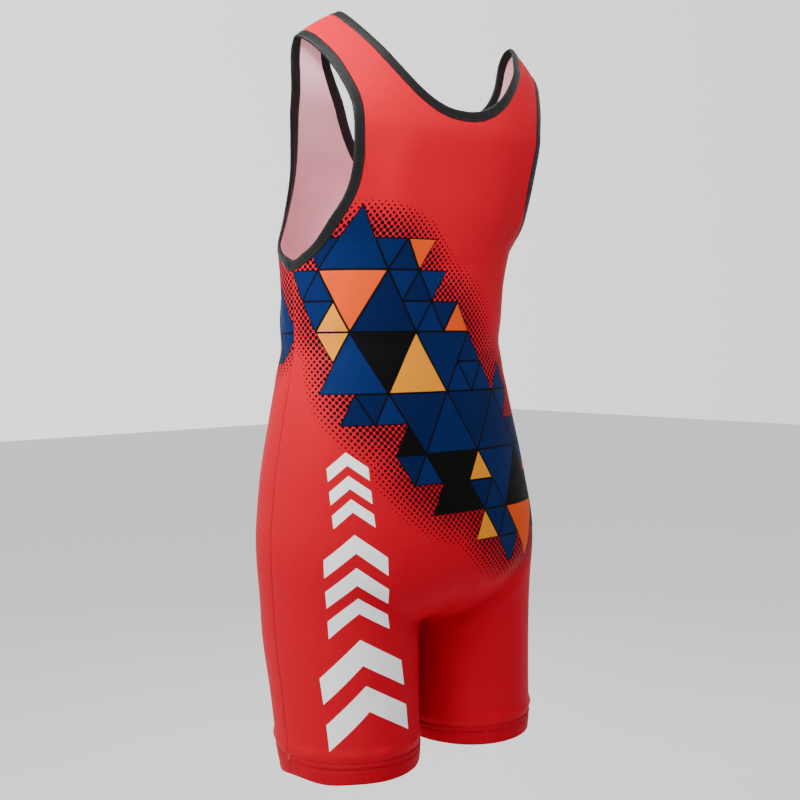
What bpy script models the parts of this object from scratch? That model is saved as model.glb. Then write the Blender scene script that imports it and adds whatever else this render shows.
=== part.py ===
"""A wrestling singlet in stretch cloth, filled out as if worn, with nobody in it.

Metres. +Z up, the front faces -Y and the wearer's left is +X. The origin is midway between the two strap
crests at their neck ends, where the wearer's shoulders hold the garment up.

The cloth lies on a general figure. A point of it has an angle round the figure, 0 at the middle of the back
or front and 90 degrees at the side, and a height. Both panels are lofts on that form, cut along the neck and
armhole lines, and bound with a folded strip.
"""

import functools
import math

import bmesh
import bpy
import numpy as np
from mathutils import Matrix

CLOTH = 0.0012
HEM_TURN = 0.022
HEM_LAYERS = 2
HEM_STEP = 0.001
SEAM_GAP = 0.0003

BINDING_WIDTH = 0.0100
BINDING_THICK = 0.0030
BINDING_PROUD = 0.0009
BINDING_FOLD = 0.0009

# Angles and heights of the strap crest, from its neck end to its arm end
CREST_NECK_ANGLE = 37.0
CREST_ARM_ANGLE = 63.0
CREST_DROP = 0.030
CREST_ROUND_BACK = 0.110
CREST_ROUND_FRONT = 0.020

CROTCH = -0.660
RISE = 0.085
HEM = -0.804
UNDERARM = -0.252

# Height, half width, side line y, depth behind and before it, squareness of the back and of the front, and how
# much wider the back is than the front where the armholes part them
TORSO_SECTIONS = (
    (0.040, 0.185, 0.088, 0.034, 0.014, 2.5, 2.5, 0.000),
    (0.000, 0.185, 0.077, 0.040, 0.014, 2.5, 2.5, 0.000),
    (-0.020, 0.185, 0.071, 0.052, 0.013, 2.5, 2.5, 0.000),
    (-0.040, 0.185, 0.065, 0.065, 0.010, 2.5, 2.5, 0.000),
    (-0.060, 0.184, 0.062, 0.069, 0.010, 2.5, 2.5, 0.001),
    (-0.080, 0.182, 0.058, 0.075, 0.016, 2.5, 2.4, 0.003),
    (-0.100, 0.177, 0.052, 0.083, 0.032, 2.5, 2.3, 0.007),
    (-0.120, 0.170, 0.047, 0.088, 0.048, 2.5, 2.2, 0.015),
    (-0.160, 0.156, 0.036, 0.091, 0.074, 2.5, 2.0, 0.028),
    (-0.200, 0.149, 0.027, 0.092, 0.085, 2.5, 2.1, 0.015),
    (-0.240, 0.144, 0.019, 0.091, 0.088, 2.4, 2.3, 0.000),
    (-0.263, 0.142, 0.015, 0.090, 0.088, 2.4, 2.3, 0.000),
    (-0.340, 0.138, 0.009, 0.089, 0.088, 2.4, 2.4, 0.000),
    (-0.380, 0.145, 0.009, 0.092, 0.091, 2.4, 2.4, 0.000),
    (-0.420, 0.154, 0.010, 0.096, 0.096, 2.4, 2.4, 0.000),
    (-0.500, 0.170, 0.013, 0.105, 0.104, 2.4, 2.4, 0.000),
    (-0.565, 0.177, 0.016, 0.111, 0.106, 2.4, 2.4, 0.000),
    (-0.660, 0.174, 0.017, 0.111, 0.102, 2.4, 2.4, 0.000),
)
# Height, centre x, centre y, half width and half depth of the left leg
LEG_SECTIONS = (
    (-0.560, 0.0866, 0.015, 0.0866, 0.095),
    (-0.660, 0.0864, 0.015, 0.0862, 0.093),
    (-0.700, 0.0863, 0.019, 0.0830, 0.089),
    (-0.750, 0.0862, 0.024, 0.0802, 0.085),
    (-0.804, 0.0865, 0.029, 0.0776, 0.082),
)

# Angle and height along each cut line, from the middle or the side up to the crest
NECK_BACK = ((0, -0.0965), (6, -0.0920), (13, -0.078), (20, -0.057), (26, -0.037), (31, -0.019))
NECK_FRONT = (
    (0, -0.138),
    (7, -0.132),
    (14, -0.117),
    (21, -0.098),
    (27.5, -0.079),
    (32.5, -0.061),
    (35.5, -0.045),
    (36.5, -0.025),
)
ARM_BACK = (
    (90, -0.2520),
    (82, -0.2455),
    (74, -0.2370),
    (61.5, -0.2180),
    (50, -0.1980),
    (42.5, -0.1770),
    (39.5, -0.1550),
    (40.5, -0.1300),
    (42.5, -0.1000),
    (45.5, -0.0800),
    (50, -0.0600),
    (56.5, -0.0420),
)
ARM_FRONT = (
    (90, -0.2520),
    (82, -0.2455),
    (75, -0.2370),
    (66, -0.2180),
    (58.5, -0.1900),
    (56, -0.1550),
    (56.5, -0.1200),
    (59.5, -0.0900),
    (62.5, -0.0600),
    (63, -0.0450),
)

BACK, FRONT = 1, -1
NECK_TURN, ARM_TURN = 1, -1
INNER_END, OUTER_END = 0, 1
PANEL_INSET = BINDING_WIDTH + SEAM_GAP
INSET_STEPS = 5
NECK_TILT = 0.012
LINE_STEPS = 24
CREST_ROUND = {BACK: CREST_ROUND_BACK, FRONT: CREST_ROUND_FRONT}
NECK = {BACK: NECK_BACK, FRONT: NECK_FRONT}
ARM = {BACK: ARM_BACK, FRONT: ARM_FRONT}

COLUMNS = 11
HEM_ROWS = 2
LEG_ROWS = 4
RISE_ROWS = 7
TORSO_ROWS = 8
UPPER_ROWS = 26
GUARD = 0.012
CREST_GUARD = 0.002
RISE_GUARD = 0.03

RED = (0.62, 0.012, 0.02, 1.0)
BLACK = (0.012, 0.012, 0.013, 1.0)


@functools.cache
def slopes_of(rows):
    """The heights, the columns and the columns' slopes at each row, which are level where a column turns back."""
    table = np.array(sorted(rows))
    keys, values = table[:, 0], table[:, 1:]
    steps = np.diff(values, axis=0) / np.diff(keys)[:, None]
    same_way = steps[1:] * steps[:-1] > 0
    total = np.where(same_way, steps[1:] + steps[:-1], 1.0)
    middle = np.where(same_way, 2 * steps[1:] * steps[:-1] / total, 0.0)
    return keys, values, np.vstack([steps[:1], middle, steps[-1:]])


def row_at(rows, height):
    """Every column of a table at one height, on a smooth curve through its rows."""
    keys, values, slopes = slopes_of(rows)
    height = min(max(height, keys[0]), keys[-1])
    i = min(max(int(np.searchsorted(keys, height)) - 1, 0), len(keys) - 2)
    span = keys[i + 1] - keys[i]
    t = (height - keys[i]) / span
    rise = t * t * (3 - 2 * t)
    start = t * (1 - t) ** 2 * span
    end = t * t * (t - 1) * span
    return values[i] * (1 - rise) + values[i + 1] * rise + slopes[i] * start + slopes[i + 1] * end


def crest(angle):
    """Height of the strap crest at an angle."""
    return -CREST_DROP * (angle - CREST_NECK_ANGLE) / (CREST_ARM_ANGLE - CREST_NECK_ANGLE)


def torso(side, angle, height, gap=0.0):
    """A point of the torso form, rounded over at the strap crest."""
    width, side_y, back_depth, front_depth, back_square, front_square, wider = row_at(TORSO_SECTIONS, height)
    depth, square = (back_depth, back_square) if side == BACK else (front_depth, front_square)
    width = width + wider if side == BACK else width
    below = min(max(crest(angle) - height, 0.0) / CREST_ROUND[side], 1.0)
    rounding = math.sqrt(1 - (1 - below) ** 2)
    turn = math.radians(angle)
    across = max(math.sin(turn), 0.0) ** (2 / square)
    out = max(math.cos(turn), 0.0) ** (2 / square)
    return np.array((width * across, side_y + side * (gap + (depth - gap) * out * rounding), height))


def leg(side, share, height, gap=0.0):
    """A point of the left leg, from the inseam at share 0 to the side seam at 1."""
    x, y, width, depth = row_at(LEG_SECTIONS, height)
    turn = math.pi * share
    return np.array((x - width * math.cos(turn), y + side * (gap + (depth - gap) * math.sin(turn)), height))


def rise(side, share, turn, gap=0.0):
    """A point where the torso turns under into the leg, from turn 0 above to 1 at the crotch."""
    outer = math.sin(math.pi / 2 * share) ** 2
    swing = math.pi / 2 * turn
    drop = (1 - outer) * math.sin(swing) + outer * turn
    mix = (1 - outer) * (1 - math.cos(swing)) + outer * turn * turn * (3 - 2 * turn)
    height = CROTCH + RISE * (1 - drop)
    return torso(side, 90 * share, height, gap) * (1 - mix) + leg(side, share, height, gap) * mix


def smooth_line(points, count):
    """Even steps along a smooth curve through points, mirrored at its first one and closer set to its last."""
    points = np.array(points, float)
    ahead = points[1] * (-1, 1) + (2 * points[0][0], 0)
    beyond = points[-1] * 2 - points[-2]
    run = np.vstack([ahead, points, beyond])
    line = []
    for i in range(1, len(points)):
        before, here, there, after = run[i - 1 : i + 3]
        last = i == len(points) - 1
        for step in np.linspace(0, 1, count, endpoint=last):
            t = 1 - (1 - step) ** 2 if last else step
            line.append(
                0.5
                * (
                    2 * here
                    + (there - before) * t
                    + (2 * before - 5 * here + 4 * there - after) * t * t
                    + (3 * here - before - 3 * there + after) * t**3
                )
            )
    return np.array(line)


def cut_line(side, rows, crest_angle):
    """Angles and heights along a cut line, up to the crest."""
    return smooth_line((*rows, (crest_angle, crest(crest_angle))), LINE_STEPS)


def slopes_at(side, angle, height):
    """How a point of the form moves for each degree, and for each metre below the crest."""
    degrees, metres = 0.02, 1e-5
    below = max(crest(angle) - height, 0.0)
    first, last = max(angle - degrees, 0.0), min(angle + degrees, 90.0)
    top = max(below - metres, 0.0)
    sideways = torso(side, last, crest(last) - below) - torso(side, first, crest(first) - below)
    down = torso(side, angle, crest(angle) - below - metres) - torso(side, angle, crest(angle) - top)
    return sideways / (last - first), down / (below + metres - top)


def edge_frames(side, line, turn):
    """Place, direction out of the cloth and direction into the cloth at each angle and height of a cut line."""
    places = np.array([torso(side, angle, height) for angle, height in line])
    alongs = np.gradient(places, axis=0)
    alongs[0] *= (turn == NECK_TURN, turn == ARM_TURN, 0)
    frames = []
    for place, along, (angle, height) in zip(places, alongs, line):
        sideways, down = slopes_at(side, angle, height)
        out = np.cross(sideways, down) * side
        if angle == line[0][0]:
            out *= (turn == ARM_TURN, turn == NECK_TURN, 1)
        out = out / np.linalg.norm(out)
        inward = np.cross(out, along) * side * turn
        frames.append((place, out, inward / np.linalg.norm(inward)))
    return frames


def lengths_of(line, side):
    """How far along a line of angles and heights each of its points lies."""
    places = np.array([torso(side, angle, height) for angle, height in line])
    return np.concatenate([[0.0], np.cumsum(np.linalg.norm(np.diff(places, axis=0), axis=1))])


def panel_line(side, rows, crest_angle, turn):
    """Angle, height and share of the length along a panel's edge, which lies a binding's width inside its cut line."""
    line = cut_line(side, rows, crest_angle)
    moved = []
    for (angle, height), (_, _, inward) in zip(line, edge_frames(side, line, turn)):
        below = max(crest(angle) - height, 0.0)
        for _ in range(INSET_STEPS):
            slopes = np.column_stack(slopes_at(side, angle, crest(angle) - below))
            change = np.linalg.lstsq(slopes, inward * PANEL_INSET / INSET_STEPS, rcond=None)[0]
            angle = min(max(angle + change[0], 0.0), 90.0)
            below = max(below + change[1], 0.0)
        moved.append((angle, crest(angle) - below))
    moved[0] = (line[0][0], line[0][1] - PANEL_INSET)
    moved[-1] = (moved[-1][0], crest(moved[-1][0]))
    moved = np.array(moved)
    length = lengths_of(moved, side)
    return np.column_stack([moved, length / length[-1]])


def on_line(line, share):
    return np.array([np.interp(share, line[:, 2], line[:, 0]), np.interp(share, line[:, 2], line[:, 1])])


def upper_rows(side):
    """Inner and outer ends of the rows above the underarm, and the row that ends at the bottom of the neck."""
    neck = panel_line(side, NECK[side], CREST_NECK_ANGLE, NECK_TURN)
    arm = panel_line(side, ARM[side], CREST_ARM_ANGLE, ARM_TURN)
    neck_bottom, underarm = neck[0, 1], arm[0, 1]
    turn_off = np.interp(neck_bottom - NECK_TILT, arm[:, 1], arm[:, 2])
    lower = max(round(UPPER_ROWS * turn_off), 1)
    climbs = [*np.linspace(0, turn_off, lower + 1)[:-1], *np.linspace(turn_off, 1, UPPER_ROWS - lower + 1)]
    climbs.insert(-1, 1 - CREST_GUARD)
    ends = []
    for climb in climbs:
        if climb <= turn_off:
            inner = np.array((0.0, underarm + (neck_bottom - underarm) * climb / turn_off))
        else:
            inner = on_line(neck, (climb - turn_off) / (1 - turn_off))
        ends.append((inner, on_line(arm, climb)))
    return ends, lower


def even_shares(count):
    """Shares from 0 to 1 with a narrow guard column at both ends, which keeps seam edges square to the form."""
    return np.concatenate([[0.0], np.linspace(GUARD, 1 - GUARD, count - 1), [1.0]])


def panel_rows(side):
    """Half of a panel as rows of points from the hem to the crest, each from the middle to the side."""
    gap = SEAM_GAP / 2
    shares = even_shares(COLUMNS)
    hem_top = HEM + HEM_TURN
    heights = [
        *np.linspace(HEM, hem_top, HEM_ROWS),
        *np.linspace(hem_top + HEM_STEP, CROTCH, LEG_ROWS + 1),
    ]
    legs = [[leg(side, share, height, gap) for share in shares] for height in heights]
    rises = [
        [rise(side, share, turn, gap) for share in shares]
        for turn in (1 - RISE_GUARD, *np.linspace(1, 0, RISE_ROWS + 1)[1:])
    ]
    torsos = [
        [torso(side, 90 * share, height, gap) for share in shares]
        for height in np.linspace(CROTCH + RISE, UNDERARM - PANEL_INSET, TORSO_ROWS + 1)[1:]
    ]
    ends, _ = upper_rows(side)
    uppers = [
        [torso(side, *(inner * (1 - share) + outer * share), gap) for share in shares]
        for inner, outer in ends[1:]
    ]
    return legs + rises + torsos + uppers


def mesh_object(name, points, faces, material, collection):
    mesh = bpy.data.meshes.new(name)
    mesh.from_pydata([tuple(point) for point in points], [], faces)
    mesh.materials.append(material)
    mesh.shade_smooth()
    thing = bpy.data.objects.new(name, mesh)
    collection.objects.link(thing)
    return thing


def make_panel(name, side, material, collection):
    """A panel as one open sheet with a mirrored half, thickened inwards and twice as thick at the hems."""
    rows = panel_rows(side)
    across = len(rows[0])
    points = [point for row in rows for point in row]
    faces = []
    for r in range(len(rows) - 1):
        for c in range(across - 1):
            corner = r * across + c
            face = (corner, corner + 1, corner + across + 1, corner + across)
            faces.append(face[::-1] if side == BACK else face)
    panel = mesh_object(name, points, faces, material, collection)
    layers = panel.vertex_groups.new(name="layers")
    for number, point in enumerate(points):
        layers.add([number], 1.0 if point[2] < HEM + HEM_TURN + HEM_STEP / 2 else 1 / HEM_LAYERS, "REPLACE")
    mirror = panel.modifiers.new("Mirror", "MIRROR")
    mirror.merge_threshold = 0.00001
    wall = panel.modifiers.new("Wall", "SOLIDIFY")
    wall.thickness = CLOTH * HEM_LAYERS
    wall.offset = -1.0
    wall.vertex_group = "layers"
    return panel


def binding_section(place, out, inward):
    """An outline round a folded strip that starts a seam gap from the panel's edge at place."""
    top, bottom = BINDING_PROUD, BINDING_PROUD - BINDING_THICK
    near, far = -SEAM_GAP, -SEAM_GAP - BINDING_WIDTH
    outline = (
        (near, top),
        (far + BINDING_FOLD, top),
        (far, top - BINDING_FOLD),
        (far, bottom + BINDING_FOLD),
        (far + BINDING_FOLD, bottom),
        (near, bottom),
    )
    return [place + inward * into + out * up for into, up in outline]


def binding_half(end, turn):
    """Sections from the middle or side of the back, over the crest, to the middle or side of the front."""
    halves = {}
    for side in (BACK, FRONT):
        ends, neck_row = upper_rows(side)
        line = np.array([row[end] for row in ends])
        line = line[neck_row:] if turn == NECK_TURN else line
        halves[side] = [binding_section(*frame) for frame in edge_frames(side, line, turn)]
    return halves[BACK] + halves[FRONT][-2::-1]


def loft_ring(name, sections, material, collection):
    """A closed ring through sections, each a closed outline."""
    points = [point for section in sections for point in section]
    around = len(sections[0])
    faces = []
    for s in range(len(sections)):
        for p in range(around):
            here = s * around
            there = (s + 1) % len(sections) * around
            after = (p + 1) % around
            faces.append((here + p, here + after, there + after, there + p))
    ring = mesh_object(name, points, faces, material, collection)
    shape = bmesh.new()
    shape.from_mesh(ring.data)
    if shape.calc_volume(signed=True) < 0:
        bmesh.ops.reverse_faces(shape, faces=shape.faces)
    shape.to_mesh(ring.data)
    shape.free()
    return ring


def make_neck_binding(material, collection):
    """One ring round the whole neck: the left half, and the same mirrored without its two middle sections."""
    left = binding_half(INNER_END, NECK_TURN)
    right = [[point * (-1, 1, 1) for point in section] for section in left[-2:0:-1]]
    return loft_ring("neck_binding", left + right, material, collection)


def make_armhole_binding(material, collection):
    """The left armhole's ring. The front's section at the side seam is the same as the back's and left out."""
    sections = binding_half(OUTER_END, ARM_TURN)[:-1]
    return loft_ring("armhole_binding_left", sections, material, collection)


def mirrored_copy(thing, name, collection):
    """A second object with the mesh mirrored to the wearer's right."""
    mesh = thing.data.copy()
    mesh.name = name
    mesh.transform(Matrix.Scale(-1, 4, (1, 0, 0)))
    mesh.flip_normals()
    other = bpy.data.objects.new(name, mesh)
    collection.objects.link(other)
    return other


def make_material(name, colour, roughness):
    material = bpy.data.materials.new(name)
    material.use_nodes = True
    shader = material.node_tree.nodes["Principled BSDF"]
    shader.inputs["Base Color"].default_value = colour
    shader.inputs["Roughness"].default_value = roughness
    return material


def main():
    for thing in list(bpy.data.objects):
        bpy.data.objects.remove(thing)
    collection = bpy.data.collections.new("wrestling_singlet")
    bpy.context.scene.collection.children.link(collection)
    red = make_material("red_stretch_cloth", RED, 0.55)
    black = make_material("black_binding", BLACK, 0.6)
    make_panel("back_panel", BACK, red, collection)
    make_panel("front_panel", FRONT, red, collection)
    make_neck_binding(black, collection)
    left = make_armhole_binding(black, collection)
    mirrored_copy(left, "armhole_binding_right", collection)


main()
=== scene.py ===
"""Looks of the wrestling singlet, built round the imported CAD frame.

Metres. +Z up, the front faces -Y and the wearer's left is +X, as in the frame. The cloth lies on the same
general figure as the solids, from the same named sizes, as thin shells on a finer grid with soft creases. The
print is a made-up pattern of facets, dots and chevrons in node maths, on coordinates laid out in metres.
"""

import math

import bmesh
import bpy
import numpy as np
from mathutils import Matrix, Vector


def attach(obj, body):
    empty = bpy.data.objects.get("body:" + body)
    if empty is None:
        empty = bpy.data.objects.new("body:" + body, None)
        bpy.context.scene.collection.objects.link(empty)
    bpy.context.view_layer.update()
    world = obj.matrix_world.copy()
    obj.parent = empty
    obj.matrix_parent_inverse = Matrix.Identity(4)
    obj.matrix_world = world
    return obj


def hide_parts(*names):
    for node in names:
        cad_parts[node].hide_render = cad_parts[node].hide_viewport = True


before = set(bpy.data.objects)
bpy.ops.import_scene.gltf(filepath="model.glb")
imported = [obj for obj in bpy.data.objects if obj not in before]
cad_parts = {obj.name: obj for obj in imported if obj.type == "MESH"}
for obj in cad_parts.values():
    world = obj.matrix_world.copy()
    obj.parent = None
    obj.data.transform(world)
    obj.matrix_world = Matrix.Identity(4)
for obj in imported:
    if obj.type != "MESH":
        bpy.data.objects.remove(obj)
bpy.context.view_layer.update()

# The form of the solids

CREST_NECK_ANGLE = 37.0
CREST_ARM_ANGLE = 63.0
CREST_DROP = 0.030
CROTCH = -0.660
RISE = 0.085
HEM = -0.804
HIP_LINE = CROTCH + RISE
BINDING_WIDTH = 0.0103

# Height, half width, y of the sides, depths behind and in front, squareness behind and in front, and how much
# wider the back is
TORSO_SECTIONS = (
    (0.040, 0.185, 0.088, 0.034, 0.014, 2.5, 2.5, 0.000),
    (0.000, 0.185, 0.077, 0.040, 0.014, 2.5, 2.5, 0.000),
    (-0.020, 0.185, 0.071, 0.052, 0.013, 2.5, 2.5, 0.000),
    (-0.040, 0.185, 0.065, 0.065, 0.010, 2.5, 2.5, 0.000),
    (-0.060, 0.184, 0.062, 0.069, 0.010, 2.5, 2.5, 0.001),
    (-0.080, 0.182, 0.058, 0.075, 0.016, 2.5, 2.4, 0.003),
    (-0.100, 0.177, 0.052, 0.083, 0.032, 2.5, 2.3, 0.007),
    (-0.120, 0.170, 0.047, 0.088, 0.048, 2.5, 2.2, 0.015),
    (-0.160, 0.156, 0.036, 0.091, 0.074, 2.5, 2.0, 0.028),
    (-0.200, 0.149, 0.027, 0.092, 0.085, 2.5, 2.1, 0.015),
    (-0.240, 0.144, 0.019, 0.091, 0.088, 2.4, 2.3, 0.000),
    (-0.263, 0.142, 0.015, 0.090, 0.088, 2.4, 2.3, 0.000),
    (-0.340, 0.138, 0.009, 0.089, 0.088, 2.4, 2.4, 0.000),
    (-0.380, 0.145, 0.009, 0.092, 0.091, 2.4, 2.4, 0.000),
    (-0.420, 0.154, 0.010, 0.096, 0.096, 2.4, 2.4, 0.000),
    (-0.500, 0.170, 0.013, 0.105, 0.104, 2.4, 2.4, 0.000),
    (-0.565, 0.177, 0.016, 0.111, 0.106, 2.4, 2.4, 0.000),
    (-0.660, 0.174, 0.017, 0.111, 0.102, 2.4, 2.4, 0.000),
)
# Height, x and y of the middle, half width and half depth
LEG_SECTIONS = (
    (-0.560, 0.0866, 0.015, 0.0866, 0.095),
    (-0.660, 0.0864, 0.015, 0.0862, 0.093),
    (-0.700, 0.0863, 0.019, 0.0830, 0.089),
    (-0.750, 0.0862, 0.024, 0.0802, 0.085),
    (-0.804, 0.0865, 0.029, 0.0776, 0.082),
)
# Cut lines: angle in degrees from the middle of the back or front, and height
NECK_BACK = ((0, -0.0965), (6, -0.0920), (13, -0.078), (20, -0.057), (26, -0.037), (31, -0.019))
NECK_FRONT = (
    (0, -0.138), (7, -0.132), (14, -0.117), (21, -0.098),
    (27.5, -0.079), (32.5, -0.061), (35.5, -0.045), (36.5, -0.025),
)
ARM_BACK = (
    (90, -0.252), (82, -0.2455), (74, -0.237), (61.5, -0.218), (50, -0.198), (42.5, -0.177),
    (39.5, -0.155), (40.5, -0.130), (42.5, -0.100), (45.5, -0.080), (50, -0.060), (56.5, -0.042),
)
ARM_FRONT = (
    (90, -0.252), (82, -0.2455), (75, -0.237), (66, -0.218), (58.5, -0.190),
    (56, -0.155), (56.5, -0.120), (59.5, -0.090), (62.5, -0.060), (63, -0.045),
)

BACK, FRONT = 1, -1
NECK_TURN, ARM_TURN = 1, -1
LINE_STEPS = 24
NECK_TILT = 0.012
# How far below the crest the cloth still rounds over
CREST_ROUND = {BACK: 0.110, FRONT: 0.020}
NECK = {BACK: NECK_BACK, FRONT: NECK_FRONT}
ARM = {BACK: ARM_BACK, FRONT: ARM_FRONT}
MIRROR = np.array((-1, 1, 1))


def slopes_of(rows):
    table = np.array(sorted(rows))
    keys, values = table[:, 0], table[:, 1:]
    steps = np.diff(values, axis=0) / np.diff(keys)[:, None]
    same_way = steps[1:] * steps[:-1] > 0
    total = np.where(same_way, steps[1:] + steps[:-1], 1.0)
    middle = np.where(same_way, 2 * steps[1:] * steps[:-1] / total, 0.0)
    return keys, values, np.vstack([steps[:1], middle, steps[-1:]])


TORSO_CURVES = slopes_of(TORSO_SECTIONS)
LEG_CURVES = slopes_of(LEG_SECTIONS)


def row_at(curves, height):
    """Every column of a table at the heights, each as an array of the same shape."""
    keys, values, slopes = curves
    height = np.clip(height, keys[0], keys[-1])
    i = np.clip(np.searchsorted(keys, height) - 1, 0, len(keys) - 2)
    span = (keys[i + 1] - keys[i])[..., None]
    t = (height - keys[i])[..., None] / span
    rise_share = t * t * (3 - 2 * t)
    start = t * (1 - t) ** 2 * span
    end = t * t * (t - 1) * span
    row = values[i] * (1 - rise_share) + values[i + 1] * rise_share + slopes[i] * start + slopes[i + 1] * end
    return np.moveaxis(row, -1, 0)


def crest(angle):
    return -CREST_DROP * (angle - CREST_NECK_ANGLE) / (CREST_ARM_ANGLE - CREST_NECK_ANGLE)


def torso(side, angle, height):
    """Points of the torso form at angles and heights."""
    angle, height = np.broadcast_arrays(np.asarray(angle, float), np.asarray(height, float))
    width, side_y, back_depth, front_depth, back_square, front_square, wider = row_at(TORSO_CURVES, height)
    depth, square = (back_depth, back_square) if side == BACK else (front_depth, front_square)
    width = width + wider if side == BACK else width
    below = np.clip((crest(angle) - height) / CREST_ROUND[side], 0, 1)
    rounding = np.sqrt(1 - (1 - below) ** 2)
    turn = np.radians(angle)
    across = np.maximum(np.sin(turn), 0) ** (2 / square)
    out = np.maximum(np.cos(turn), 0) ** (2 / square)
    return np.stack([width * across, side_y + side * depth * out * rounding, height], -1)


def leg(side, share, height):
    share, height = np.broadcast_arrays(np.asarray(share, float), np.asarray(height, float))
    x, y, width, depth = row_at(LEG_CURVES, height)
    turn = np.pi * share
    return np.stack([x - width * np.cos(turn), y + side * depth * np.sin(turn), height], -1)


def rise(side, share, turn):
    """Points where the torso turns under into the leg, from turn 0 above to 1 at the crotch."""
    outer = np.sin(np.pi / 2 * share) ** 2
    swing = np.pi / 2 * turn
    drop = (1 - outer) * np.sin(swing) + outer * turn
    mix = (1 - outer) * (1 - np.cos(swing)) + outer * turn * turn * (3 - 2 * turn)
    height = CROTCH + RISE * (1 - drop)
    mix = mix[..., None]
    return torso(side, 90 * share, height) * (1 - mix) + leg(side, share, height) * mix


def smooth_line(points, count):
    """Steps along a smooth curve through points, mirrored at its first one and closer set to its last."""
    points = np.array(points, float)
    ahead = points[1] * (-1, 1) + (2 * points[0][0], 0)
    beyond = points[-1] * 2 - points[-2]
    run = np.vstack([ahead, points, beyond])
    line = []
    for i in range(1, len(points)):
        before, here, there, after = run[i - 1 : i + 3]
        last = i == len(points) - 1
        for step in np.linspace(0, 1, count, endpoint=last):
            t = 1 - (1 - step) ** 2 if last else step
            line.append(
                0.5
                * (
                    2 * here
                    + (there - before) * t
                    + (2 * before - 5 * here + 4 * there - after) * t * t
                    + (3 * here - before - 3 * there + after) * t**3
                )
            )
    return np.array(line)


def cut_line(side, turn):
    rows, crest_angle = (NECK[side], CREST_NECK_ANGLE) if turn == NECK_TURN else (ARM[side], CREST_ARM_ANGLE)
    return smooth_line((*rows, (crest_angle, crest(crest_angle))), LINE_STEPS)


def slopes_at(side, angle, height):
    degrees, metres = 0.02, 1e-5
    below = np.maximum(crest(angle) - height, 0.0)
    first, last = np.maximum(angle - degrees, 0.0), np.minimum(angle + degrees, 90.0)
    top = np.maximum(below - metres, 0.0)
    sideways = torso(side, last, crest(last) - below) - torso(side, first, crest(first) - below)
    down = torso(side, angle, crest(angle) - below - metres) - torso(side, angle, crest(angle) - top)
    return sideways / (last - first)[:, None], down / (below + metres - top)[:, None]


def unit(vectors):
    return vectors / np.maximum(np.linalg.norm(vectors, axis=-1, keepdims=True), 1e-12)


def bell(value, middle, spread):
    """1 at the middle, and next to nothing from twice the spread away."""
    return np.exp(-(((value - middle) / spread) ** 2))


def length_run(line):
    """Length from a line's first point to each of its points."""
    return np.concatenate([[0.0], np.cumsum(np.linalg.norm(np.diff(line, axis=0), axis=1))])


def outward(side, line, turn):
    """Directions out of the cloth along a line. At its first point, it stays in the middle or side plane."""
    sideways, down = slopes_at(side, line[:, 0], line[:, 1])
    outs = np.cross(sideways, down) * side
    outs[0] *= (turn == ARM_TURN, turn == NECK_TURN, 1)
    return unit(outs)


def edge_directions(side, line, turn):
    """Direction out of the cloth and direction into the cloth along a cut line."""
    alongs = np.gradient(torso(side, line[:, 0], line[:, 1]), axis=0)
    alongs[0] *= (turn == NECK_TURN, turn == ARM_TURN, 0)
    outs = outward(side, line, turn)
    return outs, unit(np.cross(outs, alongs) * side * turn)


def moved_line(side, turn, inset, steps=5):
    """Angles and heights of a line that lies an inset inside the cut line."""
    line = cut_line(side, turn)
    if inset == 0:
        return line
    _, inward = edge_directions(side, line, turn)
    angle = line[:, 0].copy()
    below = np.maximum(crest(angle) - line[:, 1], 0.0)
    for _ in range(steps):
        slopes = np.stack(slopes_at(side, angle, crest(angle) - below), -1)
        square = np.einsum("nij,nik->njk", slopes, slopes)
        goal = np.einsum("nij,ni->nj", slopes, inward * inset / steps)
        change = np.linalg.solve(square, goal[..., None])[..., 0]
        angle = np.clip(angle + change[:, 0], 0.0, 90.0)
        below = np.maximum(below + change[:, 1], 0.0)
    angle[0], below[0] = line[0, 0], crest(line[0, 0]) - line[0, 1] + inset
    below[-1] = 0.0
    return np.column_stack([angle, crest(angle) - below])


# Creases and other soft relief, by angle round the figure and height. The angle is 0 at the middle of the
# back, 90 at the side and 180 at the middle of the front, and negative on the wearer's right.

# About the length of one degree round the figure
DEGREE = 0.0026
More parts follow.
